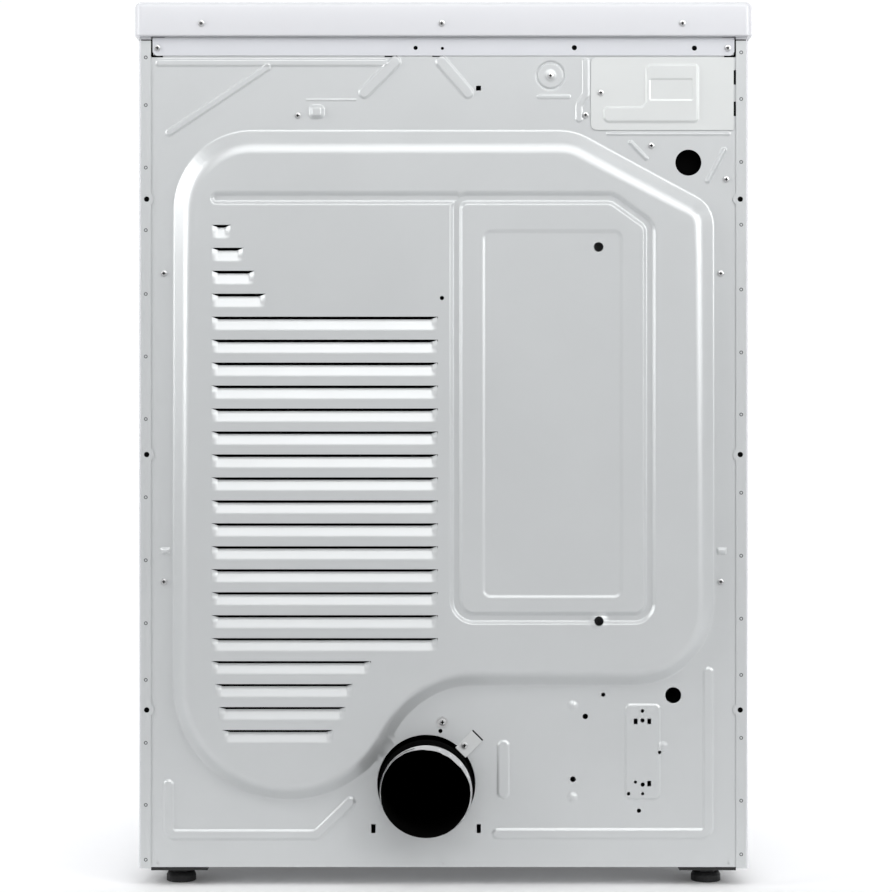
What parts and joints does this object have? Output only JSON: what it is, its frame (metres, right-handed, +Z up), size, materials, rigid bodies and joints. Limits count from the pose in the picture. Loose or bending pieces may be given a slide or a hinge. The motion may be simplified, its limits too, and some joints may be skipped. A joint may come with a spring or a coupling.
{
  "type": "clothes dryer",
  "caption": "Front-loading vented clothes dryer with a round hinged door, turning drum, lint filter and a stamped, louvred rear panel with an exhaust pipe.",
  "frame": {"origin": "middle of the footprint, on the floor", "axes": "+Z up, the door faces -Y, the exhaust pipe points along +Y, +X is to the right of someone facing the door"},
  "size_m": [0.686, 0.765, 0.983],
  "materials": {
    "white_paint": "semi-gloss white enamel",
    "coated_sheet": "semi-gloss light grey pre-coated steel",
    "galvanised": "satin zinc-coated sheet",
    "duct_foil": "bright zinc-coated duct",
    "stainless": "brushed drum steel",
    "dark_steel": "oiled steel",
    "screw_zinc": "zinc-plated screws",
    "white_plastic": "gloss white plastic",
    "grey_plastic": "matte grey plastic",
    "black_plastic": "matte black plastic",
    "silver_trim": "satin silver plastic",
    "dark_window": "gloss smoked plastic",
    "clear_glass": "clear moulded glass",
    "felt": "pressed felt",
    "rubber": "matte black rubber",
    "grey_rubber": "matte grey rubber",
    "copper_board": "green circuit board",
    "ceramic": "ivory ceramic",
    "heater_wire": "sheathed heating element"
  },
  "bodies": {
    "cabinet": {"top_panel": "white_paint", "left_side_panel": "white_paint", "right_side_panel": "white_paint", "base_pan": "galvanised", "rear_panel": "coated_sheet", "rear_top_brace": "coated_sheet", "terminal_cover": "coated_sheet", "terminal_block": "ceramic", "front_panel": "white_paint", "control_fascia": "white_plastic", "display_window": "dark_window", "control_board": "copper_board", "front_bulkhead": "galvanised", "rear_bulkhead": "galvanised", "drum_felt_seals": "felt", "heater_duct": "galvanised", "heater_coil": "heater_wire", "lint_duct": "grey_plastic", "blower_housing": "grey_plastic", "exhaust_duct": "duct_foil", "exhaust_clip": "galvanised", "motor_stator": "dark_steel", "motor_bracket": "galvanised", "drive_belt": "rubber", "roller_axles": "dark_steel", "moisture_sensors": "stainless", "thermostats": "ceramic", "door_latch": "black_plastic", "hinge_plate": "silver_trim", "foot_brackets": "black_plastic", "rear_screws": "screw_zinc"},
    "door": {"door_outer_frame": "silver_trim", "door_outer_window": "dark_window", "door_inner_frame": "white_plastic", "door_glass_bowl": "clear_glass", "door_seal": "grey_rubber", "door_hinge_arm": "dark_steel", "door_strike": "dark_steel"},
    "drum": {"drum_shell": "stainless", "drum_baffles": "stainless"},
    "motor": {"motor_rotor": "dark_steel", "motor_pulley": "dark_steel", "blower_wheel": "black_plastic"},
    "idler_arm": {"idler_arm": "galvanised", "idler_spring": "dark_steel"},
    "idler_pulley": {"idler_pulley": "black_plastic"},
    "front_left_roller": {"front_left_roller": "rubber"},
    "front_right_roller": {"front_right_roller": "rubber"},
    "rear_left_roller": {"rear_left_roller": "rubber"},
    "rear_right_roller": {"rear_right_roller": "rubber"},
    "lint_filter": {"lint_filter": "grey_plastic"},
    "cycle_knob": {"cycle_knob": "silver_trim"},
    "power_button": {"power_button": "silver_trim"},
    "start_button": {"start_button": "silver_trim"},
    "temperature_button": {"temperature_button": "silver_trim"},
    "dryness_button": {"dryness_button": "silver_trim"},
    "front_left_foot": {"front_left_foot": "rubber"},
    "front_right_foot": {"front_right_foot": "rubber"},
    "rear_left_foot": {"rear_left_foot": "rubber"},
    "rear_right_foot": {"rear_right_foot": "rubber"}
  },
  "joints": [
    {"name": "door_hinge", "type": "hinge", "parent": "cabinet", "child": "door", "pos_m": [0.266, -0.358, 0.55], "axis": [0, 0, 1], "range_deg": [0, 160]},
    {"name": "drum_spin", "type": "hinge", "parent": "cabinet", "child": "drum", "pos_m": [0, 0, 0.55], "axis": [0, 1, 0], "continuous": true},
    {"name": "motor_spin", "type": "hinge", "parent": "cabinet", "child": "motor", "pos_m": [-0.12, -0.08, 0.13], "axis": [0, 1, 0], "continuous": true},
    {"name": "idler_arm_pivot", "type": "hinge", "parent": "cabinet", "child": "idler_arm", "pos_m": [-0.219, 0.033, 0.22], "axis": [0, -1, 0], "range_deg": [0, 6], "stiffness_Nm_per_rad": 1, "springref_deg": -11.46},
    {"name": "idler_pulley_spin", "type": "hinge", "parent": "idler_arm", "child": "idler_pulley", "pos_m": [-0.175, 0.045, 0.165], "axis": [0, 1, 0], "continuous": true},
    {"name": "front_left_roller_spin", "type": "hinge", "parent": "cabinet", "child": "front_left_roller", "pos_m": [-0.18866, -0.215, 0.25948], "axis": [0, 1, 0], "continuous": true},
    {"name": "front_right_roller_spin", "type": "hinge", "parent": "cabinet", "child": "front_right_roller", "pos_m": [0.18866, -0.215, 0.25948], "axis": [0, 1, 0], "continuous": true},
    {"name": "rear_left_roller_spin", "type": "hinge", "parent": "cabinet", "child": "rear_left_roller", "pos_m": [-0.18866, 0.262, 0.25948], "axis": [0, 1, 0], "continuous": true},
    {"name": "rear_right_roller_spin", "type": "hinge", "parent": "cabinet", "child": "rear_right_roller", "pos_m": [0.18866, 0.262, 0.25948], "axis": [0, 1, 0], "continuous": true},
    {"name": "lint_filter_pull", "type": "slide", "parent": "cabinet", "child": "lint_filter", "axis": [0, 0, 1], "range_m": [0, 0.2]},
    {"name": "cycle_knob_turn", "type": "hinge", "parent": "cabinet", "child": "cycle_knob", "pos_m": [-0.06, -0.365, 0.891], "axis": [0, 1, 0], "continuous": true},
    {"name": "power_button_press", "type": "slide", "parent": "cabinet", "child": "power_button", "axis": [0, 1, 0], "range_m": [0, 0.0012], "stiffness_N_per_m": 300},
    {"name": "start_button_press", "type": "slide", "parent": "cabinet", "child": "start_button", "axis": [0, 1, 0], "range_m": [0, 0.0012], "stiffness_N_per_m": 300},
    {"name": "temperature_button_press", "type": "slide", "parent": "cabinet", "child": "temperature_button", "axis": [0, 1, 0], "range_m": [0, 0.0012], "stiffness_N_per_m": 300},
    {"name": "dryness_button_press", "type": "slide", "parent": "cabinet", "child": "dryness_button", "axis": [0, 1, 0], "range_m": [0, 0.0012], "stiffness_N_per_m": 300},
    {"name": "front_left_foot_screw", "type": "slide", "parent": "cabinet", "child": "front_left_foot", "axis": [0, 0, -1], "range_m": [0, 0.02]},
    {"name": "front_right_foot_screw", "type": "slide", "parent": "cabinet", "child": "front_right_foot", "axis": [0, 0, -1], "range_m": [0, 0.02]},
    {"name": "rear_left_foot_screw", "type": "slide", "parent": "cabinet", "child": "rear_left_foot", "axis": [0, 0, -1], "range_m": [0, 0.02]},
    {"name": "rear_right_foot_screw", "type": "slide", "parent": "cabinet", "child": "rear_right_foot", "axis": [0, 0, -1], "range_m": [0, 0.02]}
  ],
  "couplings": [
    {"joint": "motor_spin", "follows": "drum_spin", "ratio": 29.55},
    {"joint": "idler_pulley_spin", "follows": "drum_spin", "ratio": 14.95},
    {"joint": "front_left_roller_spin", "follows": "drum_spin", "ratio": -10.533},
    {"joint": "front_right_roller_spin", "follows": "drum_spin", "ratio": -10.533},
    {"joint": "rear_left_roller_spin", "follows": "drum_spin", "ratio": -10.533},
    {"joint": "rear_right_roller_spin", "follows": "drum_spin", "ratio": -10.533}
  ]
}
